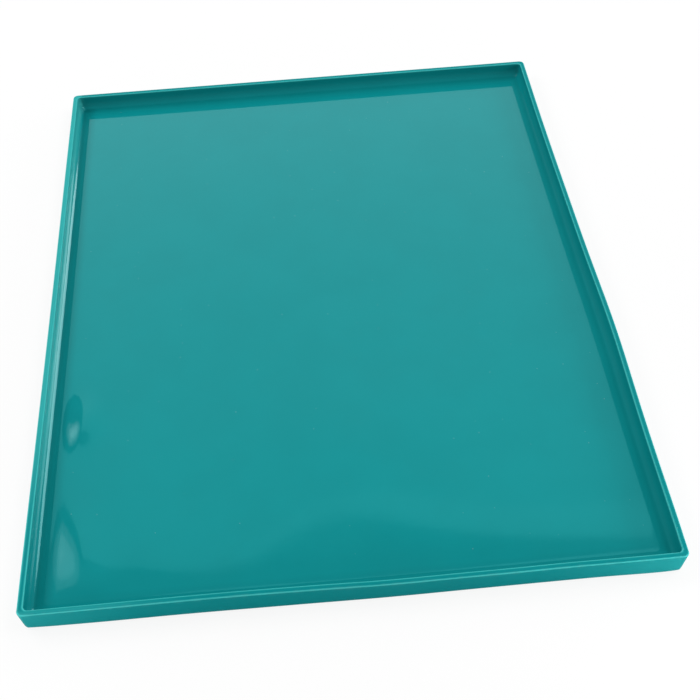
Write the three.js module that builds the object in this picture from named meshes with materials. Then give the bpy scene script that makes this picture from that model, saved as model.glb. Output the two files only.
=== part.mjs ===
// A flexible silicone baking sheet: a shallow, straight-rimmed tray moulded in one piece, on which a thin
// sponge is baked, cooled and rolled. Millimetres, +Z up. The origin is the centre of the underside, +Y runs
// along the sheet's length and +X across it.
import * as THREE from "three";

// Driving dimensions
const LENGTH = 350; // outside, along Y
const WIDTH = 270; // outside, along X
const HEIGHT = 10; // underside to the top of the rim
const FLOOR_THICKNESS = 1.8; // the web that the batter is spread on
const LIP_WIDTH = 2.5; // the rim at its top, outside face to inside face
const OUTSIDE_CORNER_RADIUS = 2.5; // corners of the rim's outside, seen from above
const INSIDE_CORNER_RADIUS = 2; // corners of the space inside the rim, seen from above
const OUTER_DRAFT_DEG = 1; // lean of the rim's outside face, so that the sheet lets go of its mould
const INNER_DRAFT_DEG = 5; // lean of the rim's inside face, so that the sponge lets go
const FLOOR_COVE_RADIUS = 6; // between the floor and the rim's inside face
const LIP_EDGE_RADIUS = 0.6; // both edges of the rim's top
const FOOT_EDGE_RADIUS = 0.8; // between the underside and the rim's outside face

// Smoothness: half the number of facets in one arc
const CORNER_DIVISIONS = 5;
const SECTION_DIVISIONS = 3;

// Finish
const TEAL = 0x16898a;
const SILICONE_ROUGHNESS = 0.35;

// The rim's cross-section, as one open line from the edge of the underside, up the outside face, over the lip
// and down the inside face to the edge of the floor. Its x is the distance in from the outside of the lip, its y
// the height above the underside. Each arc is joined to the one before it by a straight line that it is tangent to.
function rimSection() {
  const outerDraft = THREE.MathUtils.degToRad(OUTER_DRAFT_DEG);
  const innerDraft = THREE.MathUtils.degToRad(INNER_DRAFT_DEG);
  const lipShoulder = HEIGHT - LIP_EDGE_RADIUS;
  const leanToFoot = (lipShoulder - FOOT_EDGE_RADIUS) * Math.sin(outerDraft);
  const footCentre = LIP_EDGE_RADIUS + (FOOT_EDGE_RADIUS - LIP_EDGE_RADIUS + leanToFoot) / Math.cos(outerDraft);
  const innerLipCentre = LIP_WIDTH - (LIP_EDGE_RADIUS * (1 - Math.sin(innerDraft))) / Math.cos(innerDraft);
  const coveHeight = FLOOR_THICKNESS + FLOOR_COVE_RADIUS;
  const leanToCove = (HEIGHT - coveHeight) * Math.sin(innerDraft);
  const coveCentre = LIP_WIDTH + (FLOOR_COVE_RADIUS + leanToCove) / Math.cos(innerDraft);

  const section = new THREE.Path();
  section.absarc(footCentre, FOOT_EDGE_RADIUS, FOOT_EDGE_RADIUS, -Math.PI / 2, outerDraft - Math.PI, true);
  section.absarc(LIP_EDGE_RADIUS, lipShoulder, LIP_EDGE_RADIUS, Math.PI + outerDraft, Math.PI / 2, true);
  section.absarc(innerLipCentre, lipShoulder, LIP_EDGE_RADIUS, Math.PI / 2, innerDraft, true);
  section.absarc(coveCentre, coveHeight, FLOOR_COVE_RADIUS, Math.PI + innerDraft, 1.5 * Math.PI, false);
  return section.getPoints(SECTION_DIVISIONS);
}

// The sheet's outline a given distance in from the outside of its lip: a rectangle with rounded corners,
// counter-clockwise from above. The corners' radius goes from the outside one to the inside one across the lip,
// and keeps the inside one further in.
function outlineAt(inset) {
  const radius = THREE.MathUtils.mapLinear(
    Math.min(inset, LIP_WIDTH), 0, LIP_WIDTH, OUTSIDE_CORNER_RADIUS, INSIDE_CORNER_RADIUS);
  const x = WIDTH / 2 - inset - radius;
  const y = LENGTH / 2 - inset - radius;
  const outline = new THREE.Path();
  outline.absarc(x, y, radius, 0, Math.PI / 2, false);
  outline.absarc(-x, y, radius, Math.PI / 2, Math.PI, false);
  outline.absarc(-x, -y, radius, Math.PI, 1.5 * Math.PI, false);
  outline.absarc(x, -y, radius, 1.5 * Math.PI, 2 * Math.PI, false);
  return outline.getPoints(CORNER_DIVISIONS);
}

// One closed skin over a row of outlines: a band between each outline and the next, and a flat cap on the first
// and the last. The first cap faces down and the last faces up.
function loft(outlines, heights) {
  const count = outlines[0].length;
  const positions = outlines.flatMap((outline, k) => outline.flatMap((p) => [p.x, p.y, heights[k]]));
  const triangles = [];
  for (let k = 0; k + 1 < outlines.length; k += 1) {
    for (let i = 0; i < count; i += 1) {
      const next = (i + 1) % count;
      const low = k * count;
      const high = low + count;
      triangles.push(low + i, low + next, high + next);
      triangles.push(low + i, high + next, high + i);
    }
  }
  const last = (outlines.length - 1) * count;
  for (const [a, b, c] of THREE.ShapeUtils.triangulateShape(outlines[0], [])) {
    triangles.push(a, c, b);
  }
  for (const [a, b, c] of THREE.ShapeUtils.triangulateShape(outlines.at(-1), [])) {
    triangles.push(last + a, last + b, last + c);
  }
  const geometry = new THREE.BufferGeometry();
  geometry.setAttribute("position", new THREE.Float32BufferAttribute(positions, 3));
  geometry.setIndex(triangles);
  geometry.computeVertexNormals();
  return geometry;
}

// The whole sheet: the rim's cross-section carried round the outline, closed by the underside and the floor.
function bakingSheet() {
  const section = rimSection();
  const outlines = section.map((point) => outlineAt(point.x));
  const heights = section.map((point) => point.y);
  const silicone = new THREE.MeshStandardMaterial({
    color: TEAL,
    roughness: SILICONE_ROUGHNESS,
    metalness: 0,
  });
  const sheet = new THREE.Mesh(loft(outlines, heights), silicone);
  sheet.name = "baking_sheet";
  return sheet;
}

const tray = new THREE.Group();
tray.add(bakingSheet());

export default tray;
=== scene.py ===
"""A flexible silicone baking sheet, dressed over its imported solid, on a pale studio floor.

Everything is in metres with +Z up. The sheet lies on z = 0 over the origin, its width along X and its
length along Y.
"""

import logging
import math
from collections.abc import Callable
from dataclasses import dataclass
from enum import Enum, IntEnum

import bpy
import numpy as np
from mathutils import Matrix, Vector


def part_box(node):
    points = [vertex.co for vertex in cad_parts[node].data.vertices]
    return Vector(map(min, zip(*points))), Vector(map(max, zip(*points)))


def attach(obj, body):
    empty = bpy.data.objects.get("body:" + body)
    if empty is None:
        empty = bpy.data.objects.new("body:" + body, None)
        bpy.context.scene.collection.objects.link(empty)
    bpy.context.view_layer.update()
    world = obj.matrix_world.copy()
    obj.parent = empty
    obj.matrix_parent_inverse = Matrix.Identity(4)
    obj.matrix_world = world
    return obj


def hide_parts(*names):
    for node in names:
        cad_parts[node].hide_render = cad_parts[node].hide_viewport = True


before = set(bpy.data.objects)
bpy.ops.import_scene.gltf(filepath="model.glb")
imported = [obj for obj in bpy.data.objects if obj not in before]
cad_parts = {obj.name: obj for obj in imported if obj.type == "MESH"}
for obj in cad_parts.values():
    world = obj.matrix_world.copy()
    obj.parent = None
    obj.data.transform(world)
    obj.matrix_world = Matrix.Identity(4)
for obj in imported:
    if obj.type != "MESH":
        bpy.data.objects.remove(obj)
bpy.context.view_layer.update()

MM = 0.001
NODE = "baking_sheet"
BODY = "root"

Span = tuple[float, float]
Colour = tuple[float, float, float]
Value = float | tuple[float, ...] | bpy.types.NodeSocket

log = logging.getLogger("baking_sheet")


class Face(IntEnum):
    """Which finish a face of the moulding has, as its material slot on the mesh."""

    POLISHED = 0
    SATIN = 1
    INSIDE = 2


class RimField(Enum):
    """A number that the mesh keeps at each of its points, for the finishes to read."""

    # Painted light: a lighter colour along the lip's edges, on the left wall and at the front's ends.
    THINNESS = "thinness"
    RUB = "rub"
    STEEPNESS = "steepness"
    # Painted shade: a darker colour over the cove.
    DEPTH = "depth"


class Side(Enum):
    """A side of the sheet that bows, as the way out of it."""

    LEFT = (-1.0, 0.0)
    RIGHT = (1.0, 0.0)
    FRONT = (0.0, -1.0)


def arc(
    centre: tuple[float, float], radius: float, start_deg: float, end_deg: float, steps: int
) -> np.ndarray:
    """Points of a circular arc: centre + radius * (cos a, sin a), with a even from start to end.

    Args:
        centre: The arc's centre.
        radius: Its radius.
        start_deg: Angle of the first point.
        end_deg: Angle of the last point.
        steps: Number of facets.

    Returns:
        An array of steps + 1 points.
    """
    angle = np.radians(np.linspace(start_deg, end_deg, steps + 1))
    return np.column_stack([centre[0] + radius * np.cos(angle), centre[1] + radius * np.sin(angle)])


def between(start: np.ndarray, end: np.ndarray, steps: int) -> np.ndarray:
    """Inner points of a straight line, closer at its ends: the share along it is (1 - cos(pi u)) / 2.

    Args:
        start: The line's first point, left out of the result.
        end: Its last point, left out too.
        steps: Number of facets.

    Returns:
        An array of steps - 1 points.
    """
    share = 0.5 - 0.5 * np.cos(np.pi * np.linspace(0.0, 1.0, steps + 1)[1:-1, None])
    return start + share * (end - start)


def smoothstep(low: float, high: float, value: np.ndarray) -> np.ndarray:
    """A soft step from 0 at low to 1 at high: t * t * (3 - 2 t)."""
    t = np.clip((value - low) / (high - low), 0.0, 1.0)
    return t * t * (3.0 - 2.0 * t)


def step_over(span: Span, unit: float, value: np.ndarray) -> np.ndarray:
    """A soft step over a span that is counted in a unit."""
    return smoothstep(span[0] * unit, span[1] * unit, value)


def bell(distance: np.ndarray) -> np.ndarray:
    """A soft line: exp(-d * d), with the distance d in its width."""
    return np.exp(-distance * distance)


def heading(azimuth_deg: float, elevation_deg: float) -> Vector:
    """The unit vector (sin a cos e, cos a cos e, sin e) of an azimuth a and an elevation e.

    Args:
        azimuth_deg: Counted from +Y towards +X.
        elevation_deg: Counted up from the floor.

    Returns:
        The vector.
    """
    azimuth, elevation = math.radians(azimuth_deg), math.radians(elevation_deg)
    level = math.cos(elevation)
    return Vector((math.sin(azimuth) * level, math.cos(azimuth) * level, math.sin(elevation)))


def grey(level: float) -> tuple[float, ...]:
    """A grey as an opaque colour."""
    return (level, level, level, 1.0)


@dataclass(frozen=True)
class Swell:
    """A soft rise of the sheet, in millimetres: rise * exp(-(u * u + v * v) / 2).

    u and v are distances from its middle along its two turned axes, counted in its two spreads. It grows
    to its full height between two distances in from the outside, unless it lifts the rim too.
    """

    x: float
    y: float
    spread_x: float
    spread_y: float
    rise: float
    turn_deg: float = 0.0
    lifts_rim: bool = False
    grow: Span = (5.0, 18.0)

    def height(self, x: np.ndarray, y: np.ndarray, inset: np.ndarray) -> np.ndarray:
        """The rise at each place of the sheet.

        Args:
            x: Places across the sheet.
            y: Places along it.
            inset: Distances in from the sheet's outside.

        Returns:
            One value for each place.
        """
        turn = math.radians(self.turn_deg)
        along, across = x - self.x * MM, y - self.y * MM
        u = (along * math.cos(turn) + across * math.sin(turn)) / (self.spread_x * MM)
        v = (across * math.cos(turn) - along * math.sin(turn)) / (self.spread_y * MM)
        grown = 1.0 if self.lifts_rim else smoothstep(0.0, 1.0, step_over(self.grow, MM, inset))
        return self.rise * MM * grown * np.exp(-0.5 * (u * u + v * v))


@dataclass(frozen=True)
class Bow:
    """One side of the rim pushed out, in millimetres: push * exp(-((t - centre) / spread)^2 / 2).

    t runs along the side. The push goes from the foot's own to the lip's own by a straight mix with
    height, and it fades out between two distances in from the outside.
    """

    side: Side
    centre: float
    spread: float
    lip: float
    foot: float
    fade: Span = (4.0, 30.0)

    def shift(self, points: np.ndarray, size: np.ndarray) -> np.ndarray:
        """How far each point moves in x and y.

        Args:
            points: The straight moulding's vertices.
            size: Its width, length and height.

        Returns:
            One row for each point.
        """
        out = np.array(self.side.value)
        along = np.abs(out[::-1])
        inset = np.abs(out) @ size[:2] / 2.0 - points[:, :2] @ out
        t = points[:, :2] @ along / MM
        push = (self.foot + (self.lip - self.foot) * points[:, 2] / size[2]) * MM
        share = np.exp(-0.5 * ((t - self.centre) / self.spread) ** 2)
        return (push * share * (1.0 - smoothstep(*self.fade, inset / MM)))[:, None] * out


# The fade of a bow that leaves the inside of the rim where it is.
OUTSIDE_ONLY = (1.0, 4.5)


@dataclass(frozen=True)
class RimPaintedLightAndWear:
    """Where the rim is lighter, deeper, more matt or rubbed, as numbers from 0 to 1 at its points.

    The painted highlight lines along its edges have widths in metres. The other lengths are shares:
    line_in, line_down and foot_rub_in of an edge's radius, cove_start and cove_end of the cove's radius up
    from the floor, spans with rise in their names of the height, and the other spans of the width or
    length, out from the middle.
    """

    # Painted highlights along the lip's edges, and painted light on the left wall and at the front's ends.
    line_in: float = 0.25
    line_down: float = 0.2
    outer_line: float = 0.27 * MM
    outer_line_more_at_left: float = 0.18 * MM
    inner_line: float = 0.35 * MM
    inner_line_light: float = 0.85
    left_wall: Span = (0.48, 0.485)
    left_wall_back: Span = (-0.47, -0.15)
    left_wall_rise: Span = (0.25, 0.6)
    left_wall_light: float = 0.45
    front_wall: Span = (0.49, 0.497)
    right_end: Span = (0.26, 0.5)
    right_end_light: float = 0.15
    left_end: Span = (0.3, 0.5)
    left_end_light: float = 0.12
    lip_end: Span = (0.24, 0.42)
    lip_end_light: float = 0.2
    matt_rise: Span = (0.4, 0.8)
    cove_start: Span = (0.0, 0.12)
    cove_end: Span = (0.16, 0.26)
    # Painted shade over the cove, with more of it on the left and the front.
    cove_shade_at_floor: float = 0.5
    cove_shade: float = 0.4
    left_cove: Span = (0.45, 0.465)
    left_cove_shade: float = 0.52
    front_cove: Span = (0.46, 0.47)
    front_cove_shade: float = 0.22
    lip_rub: float = 0.8 * MM
    foot_rub: float = 1.0 * MM
    foot_rub_in: float = 0.4

    def thinness(self, sheet: "BakingSheet", section: np.ndarray, rim: np.ndarray) -> np.ndarray:
        """Painted light at each point of the rim: a lighter colour that stands in for light shining through
        the thin silicone and catching its edges.

        It is a soft line along each edge of the lip, a painted highlight. On the left side, the lip and the
        inside face get a soft step with height too, and more of it towards the back: painted light on that
        wall. The two ends of the front's outside face and the left end of its lip get soft steps along it:
        painted light where light comes round the corner.

        Args:
            sheet: The sheet.
            section: Its cross-section.
            rim: The rim's points, by point of the cross-section and by place along the outline.

        Returns:
            One value for each point of the rim.
        """
        inset, height = section.T
        x, y = rim[..., 0], rim[..., 1]
        outside = inset < sheet.lip_edge
        on_lip = (inset > sheet.lip_edge) & (inset < sheet.lip_width)
        line_in = self.line_in * sheet.lip_edge
        down = height - sheet.height + self.line_down * sheet.lip_edge
        left = step_over(self.left_wall, sheet.width, -x)
        outer_width = self.outer_line + self.outer_line_more_at_left * left
        # Painted highlights: soft lighter lines along the lip's outer and inner edges.
        outer = bell(np.hypot(inset - line_in, down)[:, None] / outer_width)
        inner = bell(np.hypot(inset - sheet.lip_width + line_in, down)[:, None] / self.inner_line)
        lines = np.maximum(outer, self.inner_line_light * inner)

        # Painted light on the left wall's lip and inside face, more of it towards the back.
        rise = step_over(self.left_wall_rise, sheet.height, height) * (inset > sheet.lip_edge)
        back = step_over(self.left_wall_back, sheet.length, y)
        left_wall = self.left_wall_light * rise[:, None] * left * back

        # Painted light at the two ends of the front's outside face and at the left end of its lip.
        right_end = self.right_end_light * step_over(self.right_end, sheet.width, x)
        left_end = self.left_end_light * step_over(self.left_end, sheet.width, -x)
        lip_end = self.lip_end_light * step_over(self.lip_end, sheet.width, -x)
        ends = np.maximum(right_end, left_end) * outside[:, None] + lip_end * on_lip[:, None]
        front = step_over(self.front_wall, sheet.length, -y)
        return np.maximum(np.maximum(lines, left_wall), front * ends)

    def steepness(self, sheet: "BakingSheet", section: np.ndarray) -> np.ndarray:
        """A soft step up the inside face for each point of the section: 0 at the floor, 1 under the lip."""
        inset, height = section.T
        return step_over(self.matt_rise, sheet.height, height) * (inset > sheet.lip_width)

    def depth(self, sheet: "BakingSheet", section: np.ndarray, rim: np.ndarray) -> np.ndarray:
        """Painted shade at each point of the rim: a darker colour in a soft bump with height over the cove,
        where the rim meets the floor.

        It is strongest on the left and the front, where the rim keeps most light away, and it fades out
        over the floor's apron.

        Args:
            sheet: The sheet.
            section: Its cross-section.
            rim: The rim's points, by point of the cross-section and by place along the outline.

        Returns:
            One value for each point of the rim and of the apron after it.
        """
        inset, height = section.T
        above = (height - sheet.floor_thickness) / sheet.floor_cove
        at_floor = self.cove_shade_at_floor
        start = at_floor + (1.0 - at_floor) * smoothstep(*self.cove_start, above)
        bump = start * (1.0 - smoothstep(*self.cove_end, above)) * (inset > sheet.lip_width)
        # Painted shade is stronger on the left and the front.
        left = self.left_cove_shade * step_over(self.left_cove, sheet.width, -rim[..., 0])
        front = self.front_cove_shade * step_over(self.front_cove, sheet.length, -rim[..., 1])
        depth = bump[:, None] * (self.cove_shade + np.maximum(left, front))
        fade = np.linspace(1.0, 0.0, sheet.apron_steps + 1)[1:, None]
        return np.concatenate([depth, fade * depth[-1]])

    def rub(self, sheet: "BakingSheet", section: np.ndarray) -> np.ndarray:
        """How much each point of the section is rubbed in use: a soft line on the lip's and foot's edges.

        Args:
            sheet: The sheet.
            section: Its cross-section.

        Returns:
            One value for each point.
        """
        inset, height = section.T
        lip = bell(np.hypot(inset, height - sheet.height) / self.lip_rub)
        foot = bell(np.hypot(inset - self.foot_rub_in * sheet.foot_edge, height) / self.foot_rub)
        return np.maximum(lip, foot)

    def fields(
        self, sheet: "BakingSheet", section: np.ndarray, rim: np.ndarray
    ) -> dict[RimField, np.ndarray]:
        """All the numbers, ring by ring from the first point of the cross-section.

        Args:
            sheet: The sheet.
            section: Its cross-section.
            rim: The rim's points, by point of the cross-section and by place along the outline.

        Returns:
            One row of numbers for each field.
        """
        around = rim.shape[1]
        return {
            RimField.THINNESS: self.thinness(sheet, section, rim).ravel(),
            RimField.RUB: np.repeat(self.rub(sheet, section), around),
            RimField.STEEPNESS: np.repeat(self.steepness(sheet, section), around),
            RimField.DEPTH: self.depth(sheet, section, rim).ravel(),
        }


@dataclass
class BakingSheet:
    """The one-piece moulding: a flat floor with a low rim round it.

    Its swells and bows are the set that a soft sheet takes. They shape its outline and what its floor
    reflects.
    """

    width: float
    length: float
    height: float
    floor_thickness: float = 1.8 * MM
    lip_width: float = 2.5 * MM
    outside_corner_radius: float = 2.5 * MM
    inside_corner_radius: float = 2.0 * MM
    outer_draft_deg: float = 1.0
    inner_draft_deg: float = 5.0
    floor_cove: float = 6.0 * MM
    satin_share_of_cove: float = 0.43
    lip_edge: float = 0.6 * MM
    foot_edge: float = 0.8 * MM
    apron: float = 4.0 * MM
    cell: float = 2.0 * MM
    half_corner_steps: int = 6
    edge_steps: int = 8
    cove_steps: int = 14
    wall_steps: int = 4
    apron_steps: int = 2
    tones: RimPaintedLightAndWear = RimPaintedLightAndWear()
    swells: tuple[Swell, ...] = (
        Swell(-67.7, -173.0, 34.8, 17.5, 0.55, -6.5, lifts_rim=True),
        Swell(-109.5, -147.5, 7.0, 16.5, 0.79, 10.0),
        Swell(-115.5, -71.0, 4.8, 9.0, 1.1),
        Swell(9.7, -92.0, 37.4, 25.9, 0.84),
        Swell(-60.0, 90.0, 55.0, 60.0, 0.3),
    )
    bows: tuple[Bow, ...] = (
        Bow(Side.RIGHT, -48.0, 32.0, lip=1.2, foot=0.48),
        Bow(Side.RIGHT, 110.0, 45.0, lip=-0.5, foot=-0.2),
        Bow(Side.RIGHT, -172.0, 8.0, lip=-0.15, foot=-1.5, fade=OUTSIDE_ONLY),
        Bow(Side.LEFT, -20.0, 90.0, lip=-0.42, foot=-0.17),
        Bow(Side.LEFT, -172.0, 8.0, lip=0.0, foot=-1.1, fade=OUTSIDE_ONLY),
        Bow(Side.FRONT, 80.0, 85.0, lip=0.9, foot=0.9),
        Bow(Side.FRONT, -140.0, 40.0, lip=-0.35, foot=-0.35),
        Bow(Side.FRONT, -45.0, 24.0, lip=-0.25, foot=0.3),
        Bow(Side.FRONT, 14.0, 14.0, lip=0.3, foot=0.0),
        Bow(Side.FRONT, 86.0, 14.0, lip=-0.25, foot=0.0),
        Bow(Side.FRONT, -102.0, 22.0, lip=0.0, foot=0.42, fade=OUTSIDE_ONLY),
        Bow(Side.FRONT, 12.0, 24.0, lip=0.0, foot=0.4, fade=OUTSIDE_ONLY),
        Bow(Side.FRONT, 124.0, 12.0, lip=0.0, foot=0.5, fade=OUTSIDE_ONLY),
        Bow(Side.FRONT, -135.0, 5.0, lip=0.0, foot=-0.25, fade=OUTSIDE_ONLY),
        Bow(Side.FRONT, 136.0, 4.0, lip=0.0, foot=-0.35, fade=OUTSIDE_ONLY),
    )

    def section(self) -> tuple[np.ndarray, int]:
        """The rim's cross-section from the edge of the underside, over the lip, to the edge of the floor.

        Its first number is the distance in from the outside of the lip, its second the height. Arcs at the
        foot, at the lip's two edges and at the floor are joined by straight lines that are tangent to them.

        Returns:
            The points, and how many facets come before the inside face.
        """
        outer_deg, inner_deg = self.outer_draft_deg, self.inner_draft_deg
        outer, inner = math.radians(outer_deg), math.radians(inner_deg)
        edge, steps = self.lip_edge, self.edge_steps
        shoulder = self.height - edge
        lean = (shoulder - self.foot_edge) * math.sin(outer)
        foot = edge + (self.foot_edge - edge + lean) / math.cos(outer)
        inner_lip = self.lip_width - edge * (1.0 - math.sin(inner)) / math.cos(inner)
        cove_height = self.floor_thickness + self.floor_cove
        lean = (self.height - cove_height) * math.sin(inner)
        cove = self.lip_width + (self.floor_cove + lean) / math.cos(inner)
        arcs = [
            arc((foot, self.foot_edge), self.foot_edge, -90.0, outer_deg - 180.0, steps),
            arc((edge, shoulder), edge, 180.0 + outer_deg, 90.0, steps),
            arc((inner_lip, shoulder), edge, 90.0, inner_deg, steps),
            arc((cove, cove_height), self.floor_cove, 180.0 + inner_deg, 270.0, self.cove_steps),
        ]
        pieces = [arcs[0]]
        for before, after in zip(arcs, arcs[1:]):
            pieces += [between(before[-1], after[0], self.wall_steps), after]
        *outside_and_lip, _, _ = pieces
        before_face = sum(len(piece) for piece in outside_and_lip) - 1
        return np.concatenate(pieces), before_face

    def counts(self) -> tuple[int, int]:
        """Counts the facets along the sides, each with half of its two corners.

        Returns:
            The facets along a short side and along a long side.
        """
        corners = 2.0 * (self.inside_corner_radius + self.lip_width)
        across = round((self.width - corners) / self.cell)
        along = round((self.length - corners) / self.cell)
        return across + 2 * self.half_corner_steps, along + 2 * self.half_corner_steps

    def path(self) -> tuple[np.ndarray, np.ndarray]:
        """The outline as two rows of vectors, counter-clockwise from the middle of the front left corner.

        An outline with half sizes h, drawn in by s, with corners of radius r, is C * (h - s - r) + A * r.
        C runs from -1 to 1 along each straight side and stays at a corner's sign while A, the way out,
        turns by a quarter.

        Returns:
            C and A.
        """
        across, along = self.counts()
        turn_steps = self.half_corner_steps
        centres, outs = [], []
        for side, steps in enumerate((across, along, across, along)):
            angle = side * math.pi / 2.0
            travel = np.round([math.cos(angle), math.sin(angle)])
            out = np.array([travel[1], -travel[0]])
            i = np.arange(steps)
            share = np.clip((i - turn_steps) / (steps - 2 * turn_steps), 0.0, 1.0)
            early = np.clip(i / turn_steps, 0.0, 1.0) - 1.0
            late = np.clip((i - steps + turn_steps) / turn_steps, 0.0, 1.0)
            turn = (early + late) * math.pi / 4.0
            centres.append((2.0 * share - 1.0)[:, None] * travel + out)
            outs.append(np.cos(turn)[:, None] * out + np.sin(turn)[:, None] * travel)
        return np.concatenate(centres), np.concatenate(outs)

    def rings(self) -> tuple[np.ndarray, tuple[np.ndarray, np.ndarray], int]:
        """The rim as closed rings: the cross-section carried along the outline, with an apron at both ends.

        The flat aprons lead from the rounded outline to the sharp rectangle that the floor's grid fills,
        by a straight mix of the two.

        Returns:
            The points by ring and by place along the outline, the grid's x and y lines, and the ring where
            the inside face begins.
        """
        half = np.array([self.width, self.length]) / 2.0
        centres, outs = self.path()
        section, before_face = self.section()
        inset, height = section.T
        across_lip = np.clip(inset / self.lip_width, 0.0, 1.0)
        outside, inside = self.outside_corner_radius, self.inside_corner_radius
        radius = outside + across_lip * (inside - outside)
        reach = half - inset[:, None] - radius[:, None]
        flat = centres[None] * reach[:, None, :] + outs[None] * radius[:, None, None]
        rim = np.dstack([flat, np.broadcast_to(height[:, None], flat.shape[:2])])

        inner = half - inset[-1] - self.apron
        across, along = self.counts()
        edge = rim[-1]
        x = edge[: across + 1, 0] * inner[0] / abs(edge[0, 0])
        y = edge[across : across + along + 1, 1] * inner[1] / abs(edge[0, 1])
        rectangle = np.concatenate([
            np.column_stack([x[:-1], np.full(across, -inner[1])]),
            np.column_stack([np.full(along, inner[0]), y[:-1]]),
            np.column_stack([x[:0:-1], np.full(across, inner[1])]),
            np.column_stack([np.full(along, -inner[0]), y[:0:-1]]),
        ])
        share = np.linspace(0.0, 1.0, self.apron_steps + 1)[1:, None, None]
        under, over = rim[:1], rim[-1:]
        grid = np.column_stack([rectangle, np.zeros(len(rectangle))])
        lift = np.array([0.0, 0.0, self.floor_thickness])
        under_apron = (under + share * (grid - under))[::-1]
        over_apron = over + share * (grid + lift - over)
        rings = np.concatenate([under_apron, rim, over_apron])
        return rings, (x, y), before_face + self.apron_steps

    def grid(
        self, ring: np.ndarray, start: int, lines: tuple[np.ndarray, np.ndarray], height: float
    ) -> tuple[np.ndarray, np.ndarray]:
        """A flat grid inside a rectangular ring: its points are every x line crossed with every y line.

        Args:
            ring: Vertex numbers of the ring, counter-clockwise from the front left corner.
            start: Number of the first new vertex.
            lines: The x lines and the y lines.
            height: The grid's height.

        Returns:
            The new inner vertices, and the vertex numbers by row and column, ring included.
        """
        x, y = lines
        across, along = len(x) - 1, len(y) - 1
        number = np.empty((along + 1, across + 1), dtype=int)
        closed = np.append(ring, ring[0])
        number[0, :] = closed[: across + 1]
        number[:, -1] = closed[across : across + along + 1]
        number[-1, ::-1] = closed[across + along : 2 * across + along + 1]
        number[::-1, 0] = closed[2 * across + along :]
        number[1:-1, 1:-1] = start + np.arange((along - 1) * (across - 1)).reshape(along - 1, across - 1)
        inner_x, inner_y = np.meshgrid(x[1:-1], y[1:-1])
        points = np.column_stack([inner_x.ravel(), inner_y.ravel(), np.full(inner_x.size, height)])
        return points, number

    def warp(self, points: np.ndarray) -> np.ndarray:
        """Adds up the swells and the bows: the rim bows a little, and the floor is not quite flat.

        Args:
            points: The straight moulding's vertices.

        Returns:
            The moved vertices.
        """
        x, y = points[:, 0], points[:, 1]
        inset = np.minimum(self.width / 2.0 - np.abs(x), self.length / 2.0 - np.abs(y))
        moved = points.copy()
        moved[:, 2] += sum(swell.height(x, y, inset) for swell in self.swells)
        size = np.array([self.width, self.length, self.height])
        moved[:, :2] += sum(bow.shift(points, size) for bow in self.bows)
        return moved

    def band_finishes(self, ring_count: int, face_ring: int) -> np.ndarray:
        """Which finish each band between two rings has.

        Args:
            ring_count: The number of rings.
            face_ring: The ring where the inside face begins.

        Returns:
            One finish for each band.
        """
        floor_ring = ring_count - 1 - self.apron_steps
        cove_ring = floor_ring - round(self.satin_share_of_cove * self.cove_steps)
        band = np.arange(ring_count - 1)
        finish = np.where((band < face_ring) | (band >= cove_ring), Face.SATIN, Face.INSIDE)
        return np.where(band < floor_ring, finish, Face.POLISHED)

    def build(self) -> bpy.types.Object:
        """Makes the closed mesh: an underside grid, the rim's rings and a floor grid.

        Returns:
            The finished object, at the origin.
        """
        rings, lines, face_ring = self.rings()
        ring_count, around = rings.shape[:2]
        ring_number = np.arange(ring_count * around).reshape(ring_count, around)
        under_points, under_number = self.grid(ring_number[0], ring_number.size, lines, 0.0)
        floor_start = ring_number.size + len(under_points)
        floor_points, floor_number = self.grid(ring_number[-1], floor_start, lines, self.floor_thickness)
        points = self.warp(np.concatenate([rings.reshape(-1, 3), under_points, floor_points]))

        following = np.roll(ring_number, -1, axis=1)
        bands = np.stack([ring_number[:-1], following[:-1], following[1:], ring_number[1:]], axis=-1)
        a, b, c, d = np.s_[:-1, :-1], np.s_[:-1, 1:], np.s_[1:, 1:], np.s_[1:, :-1]
        floor = np.stack([floor_number[at] for at in (a, b, c, d)], axis=-1)
        under = np.stack([under_number[at] for at in (a, d, c, b)], axis=-1)
        faces = np.concatenate([bands.reshape(-1, 4), floor.reshape(-1, 4), under.reshape(-1, 4)])
        finishes = np.concatenate([
            np.repeat(self.band_finishes(ring_count, face_ring), around),
            np.full(floor.size // 4, Face.POLISHED),
            np.full(under.size // 4, Face.SATIN),
        ])
        piece = mesh_object("silicone_sheet", points, faces, finishes)
        self.mark(piece, rings)
        return piece

    def mark(self, piece: bpy.types.Object, rings: np.ndarray) -> None:
        """Keeps the rim's painted light, painted shade, rub and steepness on the mesh, with 0 at every
        other point.

        Args:
            piece: The sheet's object, whose vertices start with the rings.
            rings: The straight rim and its aprons, by ring and by place along the outline.
        """
        section, _ = self.section()
        rim = rings[self.apron_steps : self.apron_steps + len(section)]
        first = self.apron_steps * rings.shape[1]
        for field, numbers in self.tones.fields(self, section, rim).items():
            values = np.zeros(len(piece.data.vertices), dtype=np.float32)
            values[first : first + len(numbers)] = numbers
            piece.data.attributes.new(field.value, "FLOAT", "POINT").data.foreach_set("value", values)

    def dress(self, piece: bpy.types.Object, effects: "Effects") -> None:
        """Gives the mesh its finishes, in the order of its material slots."""
        for face in Face:
            piece.data.materials.append(FINISHES[face].material(effects))


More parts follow.
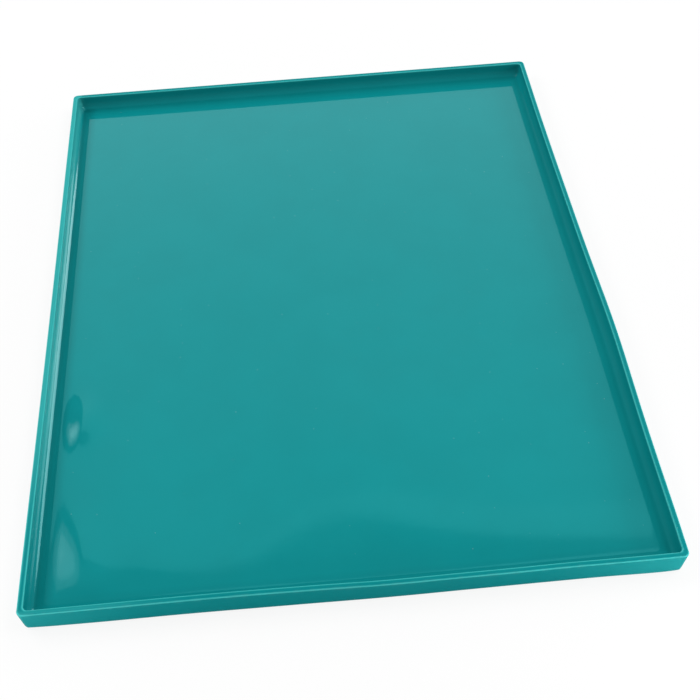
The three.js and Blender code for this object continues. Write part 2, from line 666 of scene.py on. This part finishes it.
def mesh_object(
    name: str, points: np.ndarray, faces: np.ndarray, finishes: np.ndarray
) -> bpy.types.Object:
    """Puts vertices and four-sided faces into a new smooth mesh, and links it to the scene.

    Args:
        name: The object's name.
        points: One row for each vertex.
        faces: Four vertex numbers for each face.
        finishes: The material slot of each face.

    Returns:
        The new object.
    """
    mesh = bpy.data.meshes.new(name)
    mesh.vertices.add(len(points))
    mesh.vertices.foreach_set("co", points.astype(np.float32).ravel())
    mesh.loops.add(faces.size)
    mesh.loops.foreach_set("vertex_index", faces.astype(np.int32).ravel())
    mesh.polygons.add(len(faces))
    mesh.polygons.foreach_set("loop_start", np.arange(0, faces.size, 4, dtype=np.int32))
    mesh.update(calc_edges=True)
    mesh.validate()
    mesh.polygons.foreach_set("material_index", finishes.astype(np.int32))
    mesh.shade_smooth()
    made = bpy.data.objects.new(name, mesh)
    bpy.context.scene.collection.objects.link(made)
    return made


# Sockets of the Mix node for colours, which share their names with those for numbers.
MIX_SHARE, MIX_FIRST, MIX_SECOND, MIX_RESULT = 0, 6, 7, 2


class Graph:
    """A shader node tree, with short calls that add nodes and link them."""

    def __init__(self, tree: bpy.types.NodeTree) -> None:
        """Takes the tree to build in."""
        self.tree = tree

    def feed(self, node: bpy.types.Node, inputs: dict[str | int, Value]) -> None:
        """Fills a node's inputs.

        Args:
            node: The node.
            inputs: What goes in: an output socket is linked, anything else is set as the input's own value.
        """
        for key, value in inputs.items():
            if isinstance(value, bpy.types.NodeSocket):
                self.tree.links.new(value, node.inputs[key])
            else:
                node.inputs[key].default_value = value

    def add(
        self, kind: str, inputs: dict[str | int, Value] | None = None, **settings: object
    ) -> bpy.types.Node:
        """Adds one node.

        Args:
            kind: The node's type.
            inputs: What goes into its inputs.
            settings: Other properties of the node.

        Returns:
            The node.
        """
        node = self.tree.nodes.new(kind)
        for name, setting in settings.items():
            setattr(node, name, setting)
        self.feed(node, inputs or {})
        return node

    def group(
        self, tree: bpy.types.NodeTree, inputs: dict[str | int, Value] | None = None
    ) -> bpy.types.NodeSocket:
        """The output of a node group that is placed with its own inputs."""
        return self.add("ShaderNodeGroup", inputs, node_tree=tree).outputs[0]

    def math(self, operation: str, *values: Value) -> bpy.types.NodeSocket:
        """The result of one operation on numbers."""
        return self.add("ShaderNodeMath", dict(enumerate(values)), operation=operation).outputs[0]

    def step(
        self, value: Value, low: Value, high: Value, start: float = 0.0, end: float = 1.0
    ) -> bpy.types.NodeSocket:
        """A soft step from start at low to end at high."""
        inputs = {"Value": value, "From Min": low, "From Max": high, "To Min": start, "To Max": end}
        return self.add("ShaderNodeMapRange", inputs, interpolation_type="SMOOTHSTEP").outputs[0]

    def blend(self, share: Value, first: Value, second: Value, how: str = "MIX") -> bpy.types.NodeSocket:
        """A mix of two colours."""
        inputs = {MIX_SHARE: share, MIX_FIRST: first, MIX_SECOND: second}
        return self.add("ShaderNodeMix", inputs, data_type="RGBA", blend_type=how).outputs[MIX_RESULT]

    def place(self) -> bpy.types.NodeSocket:
        """The object's own coordinates, in metres."""
        return self.add("ShaderNodeTexCoord").outputs["Object"]

    def fineness(self, size: Value) -> bpy.types.NodeSocket:
        """The scale of a pattern whose cells have the given size in millimetres."""
        return self.math("DIVIDE", 1.0 / MM, size)

    def noise(self, place: Value, scale: Value, detail: float, roughness: float) -> bpy.types.NodeSocket:
        """Cloudy noise from 0 to 1."""
        inputs = {"Vector": place, "Scale": scale, "Detail": detail, "Roughness": roughness}
        return self.add("ShaderNodeTexNoise", inputs).outputs[0]

    def attribute(self, field: RimField) -> bpy.types.NodeSocket:
        """A number kept on the mesh."""
        return self.add("ShaderNodeAttribute", attribute_name=field.value).outputs["Fac"]


Sockets = dict[str, bpy.types.NodeSocket]


@dataclass(frozen=True)
class Wear:
    """What use and the mould leave on every finish, and how much the painted shade in the cove darkens the
    colour.

    A colour's share is how much of it is laid over the silicone. Speck radii are shares of the speck size,
    the core is a share of the radius, and the clouds' scale is in cells for each metre.
    """

    wipe_turn_deg: float = 32.0
    wipe_scale: tuple[float, float, float] = (9.0, 80.0, 30.0)
    film_colour: Colour = (0.1, 0.34, 0.34)
    film_share: float = 0.01
    rubbed_colour: Colour = (0.16, 0.42, 0.41)
    rubbed_share: float = 0.12
    speck_colour: Colour = (0.4, 0.55, 0.5)
    speck_share: float = 0.5
    speck_chance: float = 0.25
    speck_radius: Span = (0.2, 0.5)
    speck_core: float = 0.5
    cloud_scale: float = 32.0
    cloud_shade: Span = (0.98, 1.02)
    # How much the painted shade darkens the colour in the cove.
    painted_shade_strength: float = 0.28


class Effects:
    """The node groups that the finishes share. Sizes that go into them are in millimetres."""

    def __init__(self, wear: Wear) -> None:
        """Builds each group once.

        Args:
            wear: The wear that they show.
        """
        self.wear = wear
        specks = {"Spacing": 12.0, "Speck Size": 0.5}
        colours = {"Colour": (0.0, 0.2, 0.2, 1.0), "Thin Colour": (0.0, 0.4, 0.4, 1.0)}
        tones = {**colours, "Film": 0.0, "Rub": 0.0, "Specks": 0.0}
        self.grain = self._group("mould_grain", {"Grain Size": 1.0}, "Height", self._grain)
        self.film = self._group("wiped_film", {"Patch Size": 40.0}, "Film", self._film)
        self.specks = self._group("fine_specks", specks, "Specks", self._specks)
        self.rub = self._group("edge_rub", {"Break Size": 3.0}, "Rub", self._rub)
        # This group lays the painted light and the painted shade into the colour, with a random tone and
        # the wear.
        self.tone = self._group("silicone_tone_and_painted_light", tones, "Colour", self._tone, "Color")

    @staticmethod
    def _group(
        name: str,
        inputs: dict[str, float | tuple[float, ...]],
        output: str,
        fill: Callable[[Graph, Sockets], bpy.types.NodeSocket],
        output_kind: str = "Float",
    ) -> bpy.types.NodeTree:
        """Makes one group with named sockets.

        Args:
            name: The group's name.
            inputs: Its inputs, each with a default number or colour.
            output: Its output.
            fill: Builds the nodes inside from the inputs, and returns what goes to the output.
            output_kind: The output's kind of socket.

        Returns:
            The group.
        """
        tree = bpy.data.node_groups.new(name, "ShaderNodeTree")
        for key, default in inputs.items():
            kind = "Color" if isinstance(default, tuple) else "Float"
            socket = tree.interface.new_socket(key, in_out="INPUT", socket_type=f"NodeSocket{kind}")
            socket.default_value = default
        tree.interface.new_socket(output, in_out="OUTPUT", socket_type=f"NodeSocket{output_kind}")
        graph = Graph(tree)
        entry = graph.add("NodeGroupInput")
        result = fill(graph, {key: entry.outputs[key] for key in inputs})
        graph.add("NodeGroupOutput", {output: result})
        return tree

    def _grain(self, graph: Graph, given: Sockets) -> bpy.types.NodeSocket:
        """The mould's own surface as a height: noise with grains of the given size."""
        return graph.noise(graph.place(), graph.fineness(given["Grain Size"]), detail=3.0, roughness=0.5)

    def _film(self, graph: Graph, given: Sockets) -> bpy.types.NodeSocket:
        """A thin film left by use and wiping: soft patches crossed by slanting wipe marks.

        Args:
            graph: The group's nodes.
            given: The group's inputs.

        Returns:
            The film, from 0 to 1.
        """
        place = graph.place()
        cloud = graph.noise(place, graph.fineness(given["Patch Size"]), detail=4.0, roughness=0.6)
        patches = graph.step(cloud, low=0.4, high=0.7)
        turn = (0.0, 0.0, math.radians(self.wear.wipe_turn_deg))
        slant = {"Vector": place, "Rotation": turn, "Scale": self.wear.wipe_scale}
        slanted = graph.add("ShaderNodeMapping", slant).outputs[0]
        wipes = graph.noise(slanted, scale=1.0, detail=3.0, roughness=0.6)
        return graph.math("MULTIPLY", patches, graph.step(wipes, low=0.4, high=0.7, start=0.5))

    def _specks(self, graph: Graph, given: Sockets) -> bpy.types.NodeSocket:
        """Sparse fine specks on level faces: a small disc in some of the cells, each of its own size.

        Args:
            graph: The group's nodes.
            given: The group's inputs.

        Returns:
            The specks, from 0 to 1.
        """
        pattern = {"Vector": graph.place(), "Scale": graph.fineness(given["Spacing"])}
        cells = graph.add("ShaderNodeTexVoronoi", pattern, voronoi_dimensions="2D")
        chance = graph.add("ShaderNodeSeparateColor", {0: cells.outputs["Color"]})
        distance = graph.math("MULTIPLY", cells.outputs["Distance"], given["Spacing"])
        small, large = self.wear.speck_radius
        share = graph.math("MULTIPLY_ADD", chance.outputs[1], large - small, small)
        radius = graph.math("MULTIPLY", share, given["Speck Size"])
        disc = graph.step(distance, low=radius, high=graph.math("MULTIPLY", radius, self.wear.speck_core))
        picked = graph.math("LESS_THAN", chance.outputs[0], self.wear.speck_chance)
        normal = graph.add("ShaderNodeNewGeometry").outputs["Normal"]
        facing = graph.add("ShaderNodeSeparateXYZ", {0: normal}).outputs["Z"]
        level = graph.step(graph.math("ABSOLUTE", facing), low=0.9, high=0.97)
        return graph.math("MULTIPLY", graph.math("MULTIPLY", disc, picked), level)

    def _rub(self, graph: Graph, given: Sockets) -> bpy.types.NodeSocket:
        """Edges rubbed in use: the mesh's own rub, broken up by noise."""
        cloud = graph.noise(graph.place(), graph.fineness(given["Break Size"]), detail=4.0, roughness=0.6)
        return graph.math("MULTIPLY", graph.attribute(RimField.RUB), graph.step(cloud, low=0.38, high=0.66))

    def _tone(self, graph: Graph, given: Sockets) -> bpy.types.NodeSocket:
        """The silicone's colour: lighter with painted light on the rim, darker with painted shade over the
        cove, a little patchy at random, greyed by wear.

        Args:
            graph: The group's nodes.
            given: The group's inputs.

        Returns:
            The colour.
        """
        # The painted light and the painted shade kept on the mesh go into the colour here.
        thinness, depth = graph.attribute(RimField.THINNESS), graph.attribute(RimField.DEPTH)
        body = graph.blend(thinness, given["Colour"], given["Thin Colour"])
        low, high = self.wear.cloud_shade
        noise = graph.noise(graph.place(), self.wear.cloud_scale, detail=3.0, roughness=0.55)
        cloud = graph.step(noise, low=0.3, high=0.7, start=low, end=high)
        # Painted shade: the colour darkens over the cove; the cloud is a random tone.
        shade_factor = graph.math("MULTIPLY_ADD", depth, -self.wear.painted_shade_strength, 1.0)
        uneven_and_shaded = graph.math("MULTIPLY", cloud, shade_factor)
        shade = graph.add("ShaderNodeCombineColor", {0: uneven_and_shaded, 1: uneven_and_shaded, 2: uneven_and_shaded}).outputs[0]
        tone = graph.blend(1.0, body, shade, "MULTIPLY")
        layers = (
            ("Film", self.wear.film_share, self.wear.film_colour),
            ("Rub", self.wear.rubbed_share, self.wear.rubbed_colour),
            ("Specks", self.wear.speck_share, self.wear.speck_colour),
        )
        for mask, share, colour in layers:
            tone = graph.blend(graph.math("MULTIPLY", given[mask], share), tone, (*colour, 1.0))
        return tone


@dataclass(frozen=True)
class SiliconeFinish:
    """One finish of the teal silicone. Its grain's size and depth and its patches are in millimetres."""

    name: str
    colour: Colour
    roughness: Span
    specular_level: float
    specular_tint: Colour
    grain_size: float
    grain_depth: float
    patch_size: float
    # The colour that the painted light on the rim blends towards.
    painted_light_colour: Colour = (0.07, 0.56, 0.54)
    wall_matt: float = 0.0
    rubbed_matt: float = 0.12
    speck_matt: float = 0.3
    refraction: float = 1.41

    def material(self, effects: Effects) -> bpy.types.Material:
        """Makes the finish's material.

        Args:
            effects: The shared node groups.

        Returns:
            The material.
        """
        made = bpy.data.materials.new(self.name)
        made.use_nodes = True
        graph = Graph(made.node_tree)
        film = graph.group(effects.film, {"Patch Size": self.patch_size})
        specks = graph.group(effects.specks)
        rub = graph.group(effects.rub)
        grain = graph.group(effects.grain, {"Grain Size": self.grain_size})
        tone = graph.group(effects.tone, {
            "Colour": (*self.colour, 1.0),
            "Thin Colour": (*self.painted_light_colour, 1.0),
            "Film": film,
            "Rub": rub,
            "Specks": specks,
        })
        clean, filmed = self.roughness
        dull = graph.math("MULTIPLY_ADD", film, filmed - clean, clean)
        matt = graph.math("MULTIPLY_ADD", graph.attribute(RimField.STEEPNESS), self.wall_matt, dull)
        worn = graph.math("MULTIPLY_ADD", rub, self.rubbed_matt, matt)
        grained = {"Height": grain, "Distance": self.grain_depth * MM, "Strength": 1.0}
        graph.feed(made.node_tree.nodes["Principled BSDF"], {
            "Base Color": tone,
            "Roughness": graph.math("MULTIPLY_ADD", specks, self.speck_matt, worn),
            "Normal": graph.add("ShaderNodeBump", grained).outputs[0],
            "IOR": self.refraction,
            "Specular IOR Level": self.specular_level,
            "Specular Tint": (*self.specular_tint, 1.0),
        })
        return made


FINISHES = {
    Face.POLISHED: SiliconeFinish(
        name="polished_silicone",
        colour=(0.003, 0.24, 0.254),
        roughness=(0.045, 0.08),
        specular_level=0.5,
        specular_tint=(0.115, 1.0, 1.0),
        grain_size=3.0,
        grain_depth=0.004,
        patch_size=45.0,
    ),
    Face.SATIN: SiliconeFinish(
        name="satin_silicone",
        colour=(0.003, 0.23, 0.242),
        roughness=(0.45, 0.55),
        specular_level=0.03,
        specular_tint=(0.05, 1.0, 1.0),
        grain_size=0.4,
        grain_depth=0.02,
        patch_size=30.0,
    ),
    Face.INSIDE: SiliconeFinish(
        name="inside_silicone",
        colour=(0.003, 0.24, 0.254),
        roughness=(0.06, 0.12),
        wall_matt=0.12,
        specular_level=0.5,
        specular_tint=(0.38, 1.0, 1.0),
        grain_size=3.0,
        grain_depth=0.004,
        patch_size=45.0,
    ),
}


@dataclass(frozen=True)
class PhotoCamera:
    """The camera as the photograph was taken, worked out from the rim's edges."""

    place: tuple[float, float, float] = (-14.95 * MM, -420.69 * MM, 417.55 * MM)
    azimuth_deg: float = 3.0
    elevation_deg: float = 47.494
    roll_deg: float = -2.702
    focal_px: float = 1174.48
    frame_px: float = 700.0
    axis_column_px: float = 340.0
    sensor: float = 36.0
    clip_start: float = 0.01

    def build(self) -> bpy.types.Object:
        """Makes the camera and sets it as the scene's own.

        Returns:
            The camera.
        """
        azimuth, roll = math.radians(self.azimuth_deg), math.radians(self.roll_deg)
        forward = heading(self.azimuth_deg, -self.elevation_deg)
        level = Vector((math.cos(azimuth), -math.sin(azimuth), 0.0))
        upright = level.cross(forward)
        right = math.cos(roll) * level + math.sin(roll) * upright
        up = right.cross(forward)
        data = bpy.data.cameras.new("photo_camera")
        data.sensor_width = self.sensor
        data.lens = self.sensor * self.focal_px / self.frame_px
        data.shift_x = 0.5 - self.axis_column_px / self.frame_px
        data.clip_start = self.clip_start
        camera = bpy.data.objects.new("photo_camera", data)
        turned = Matrix((right, up, -forward)).transposed().to_4x4()
        camera.matrix_world = Matrix.Translation(self.place) @ turned
        bpy.context.scene.collection.objects.link(camera)
        bpy.context.scene.camera = camera
        return camera


class LampUse(Enum):
    """What a lamp is for: light and reflection, light alone, or its reflection alone."""

    BOTH = "both"
    LIGHT = "light"
    MIRROR = "mirror"


class LampShape(Enum):
    """The outline of a lamp, as Blender names it."""

    RECTANGLE = "RECTANGLE"
    ELLIPSE = "ELLIPSE"


@dataclass(frozen=True)
class Softbox:
    """One soft lamp, hung on a sphere round the sheet and turned to its middle."""

    name: str
    azimuth_deg: float
    elevation_deg: float
    distance: float
    size: tuple[float, float]
    radiance: float
    shape: LampShape = LampShape.RECTANGLE
    use: LampUse = LampUse.BOTH
    colour: Colour = (1.0, 1.0, 1.0)

    def area(self) -> float:
        """The lamp's own area."""
        share = math.pi / 4.0 if self.shape is LampShape.ELLIPSE else 1.0
        return share * self.size[0] * self.size[1]

    def build(self) -> bpy.types.Object:
        """Hangs the lamp, with the power radiance * pi * area.

        Returns:
            The lamp.
        """
        away = heading(self.azimuth_deg, self.elevation_deg)
        data = bpy.data.lights.new(self.name, "AREA")
        data.shape = self.shape.value
        data.size, data.size_y = self.size
        data.energy = self.radiance * math.pi * self.area()
        data.color = self.colour
        lamp = bpy.data.objects.new(self.name, data)
        lamp.visible_camera = False
        lamp.visible_glossy = self.use is not LampUse.LIGHT
        lamp.visible_diffuse = self.use is not LampUse.MIRROR
        lamp.location = self.distance * away
        lamp.rotation_euler = away.to_track_quat("Z", "Y").to_euler()
        bpy.context.scene.collection.objects.link(lamp)
        return lamp


WARM = (1.0, 0.47, 0.47)
DISC_GAP = 0.01


def soft_spot(
    name: str,
    azimuth_deg: float,
    elevation_deg: float,
    distance: float,
    discs: tuple[tuple[float, float], ...],
) -> tuple[Softbox, ...]:
    """A warm round lamp that fades towards its edge and is seen in reflections alone.

    Args:
        name: The first part of its discs' names.
        azimuth_deg: The lamp's azimuth.
        elevation_deg: The lamp's elevation.
        distance: The first disc's distance from the middle of the sheet.
        discs: The diameter and the radiance of each disc. They hang a gap apart and add up.

    Returns:
        One lamp for each disc.
    """
    return tuple(
        Softbox(
            name=f"{name}_{number}",
            azimuth_deg=azimuth_deg,
            elevation_deg=elevation_deg,
            distance=distance - DISC_GAP * number,
            size=(diameter, diameter),
            radiance=radiance,
            shape=LampShape.ELLIPSE,
            use=LampUse.MIRROR,
            colour=WARM,
        )
        for number, (diameter, radiance) in enumerate(discs)
    )


@dataclass(frozen=True)
class Studio:
    """The pale floor, the soft lamps and the light all round."""

    floor_size: float = 40.0
    floor_drop: float = 0.1 * MM
    floor_colour: float = 0.88
    floor_roughness: float = 0.9
    floor_lift: float = 0.88
    world_level: float = 0.2
    lamps: tuple[Softbox, ...] = (
        Softbox("back_softbox", 6.0, 40.69, 1.3, (1.094, 1.0), 1.25),
        Softbox("upper_softbox", 0.0, 74.5, 1.272, (1.3, 0.6), 0.35),
        Softbox("left_softbox", -62.0, 42.0, 1.3, (0.7, 0.5), 7.6, use=LampUse.LIGHT),
        *soft_spot(
            "left_accent", -50.5, 48.0, 1.25, ((0.42, 2.0), (0.34, 2.8), (0.26, 3.15), (0.16, 2.1))
        ),
        Softbox("right_accent", 42.5, 19.5, 1.1, (0.61, 0.68), 6.2, LampShape.ELLIPSE, LampUse.MIRROR),
        Softbox("right_softbox", 73.0, 16.0, 1.12, (1.2, 0.42), 3.4, use=LampUse.LIGHT),
        Softbox("top_softbox", 88.0, 58.0, 1.3, (0.65, 0.5), 5.2),
        Softbox("right_fill", 140.7, 7.4, 0.43, (0.12, 0.08), 14.5, use=LampUse.LIGHT),
        Softbox("left_fill", -140.7, 7.4, 0.43, (0.12, 0.08), 10.0, use=LampUse.LIGHT),
    )

    def floor_paint(self) -> bpy.types.Material:
        """A matt pale paint, lifted towards white where it is seen straight or in a reflection.

        Returns:
            The material.
        """
        paint = bpy.data.materials.new("pale_floor")
        paint.use_nodes = True
        graph = Graph(paint.node_tree)
        shader = paint.node_tree.nodes["Principled BSDF"]
        graph.feed(shader, {
            "Base Color": grey(self.floor_colour),
            "Roughness": self.floor_roughness,
            "Specular IOR Level": 0.0,
        })
        path = graph.add("ShaderNodeLightPath")
        seen = path.outputs["Is Camera Ray"]
        for ray in ("Is Glossy Ray", "Is Transmission Ray"):
            seen = graph.math("MAXIMUM", seen, path.outputs[ray])
        share = graph.math("MULTIPLY", seen, self.floor_lift)
        white = graph.add("ShaderNodeEmission")
        mix = graph.add("ShaderNodeMixShader", {0: share, 1: shader.outputs[0], 2: white.outputs[0]})
        graph.feed(paint.node_tree.nodes["Material Output"], {"Surface": mix.outputs[0]})
        return paint

    def build(self) -> None:
        """Makes the floor, a square just under the sheet, and the lamps and the world."""
        h, z = self.floor_size / 2.0, -self.floor_drop
        points = np.array([[-h, -h, z], [h, -h, z], [h, h, z], [-h, h, z]])
        floor = mesh_object("studio_floor", points, np.array([[0, 1, 2, 3]]), np.zeros(1))
        floor.data.materials.append(self.floor_paint())
        for lamp in self.lamps:
            lamp.build()
        world = bpy.data.worlds.new("soft_light")
        world.use_nodes = True
        world.node_tree.nodes["Background"].inputs["Color"].default_value = grey(self.world_level)
        bpy.context.scene.world = world


def main() -> None:
    """Builds and dresses the sheet, then the studio round it."""
    logging.basicConfig(level=logging.INFO, format="%(name)s: %(message)s")
    bpy.context.scene.view_settings.view_transform = "Standard"
    low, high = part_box(NODE)
    size = high - low
    sheet = BakingSheet(size.x, size.y, size.z)
    piece = sheet.build()
    sheet.dress(piece, Effects(Wear()))
    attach(piece, BODY)
    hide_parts(NODE)
    log.info("%s: %d faces", piece.name, len(piece.data.polygons))
    PhotoCamera().build()
    Studio().build()


if __name__ == "__main__":
    main()
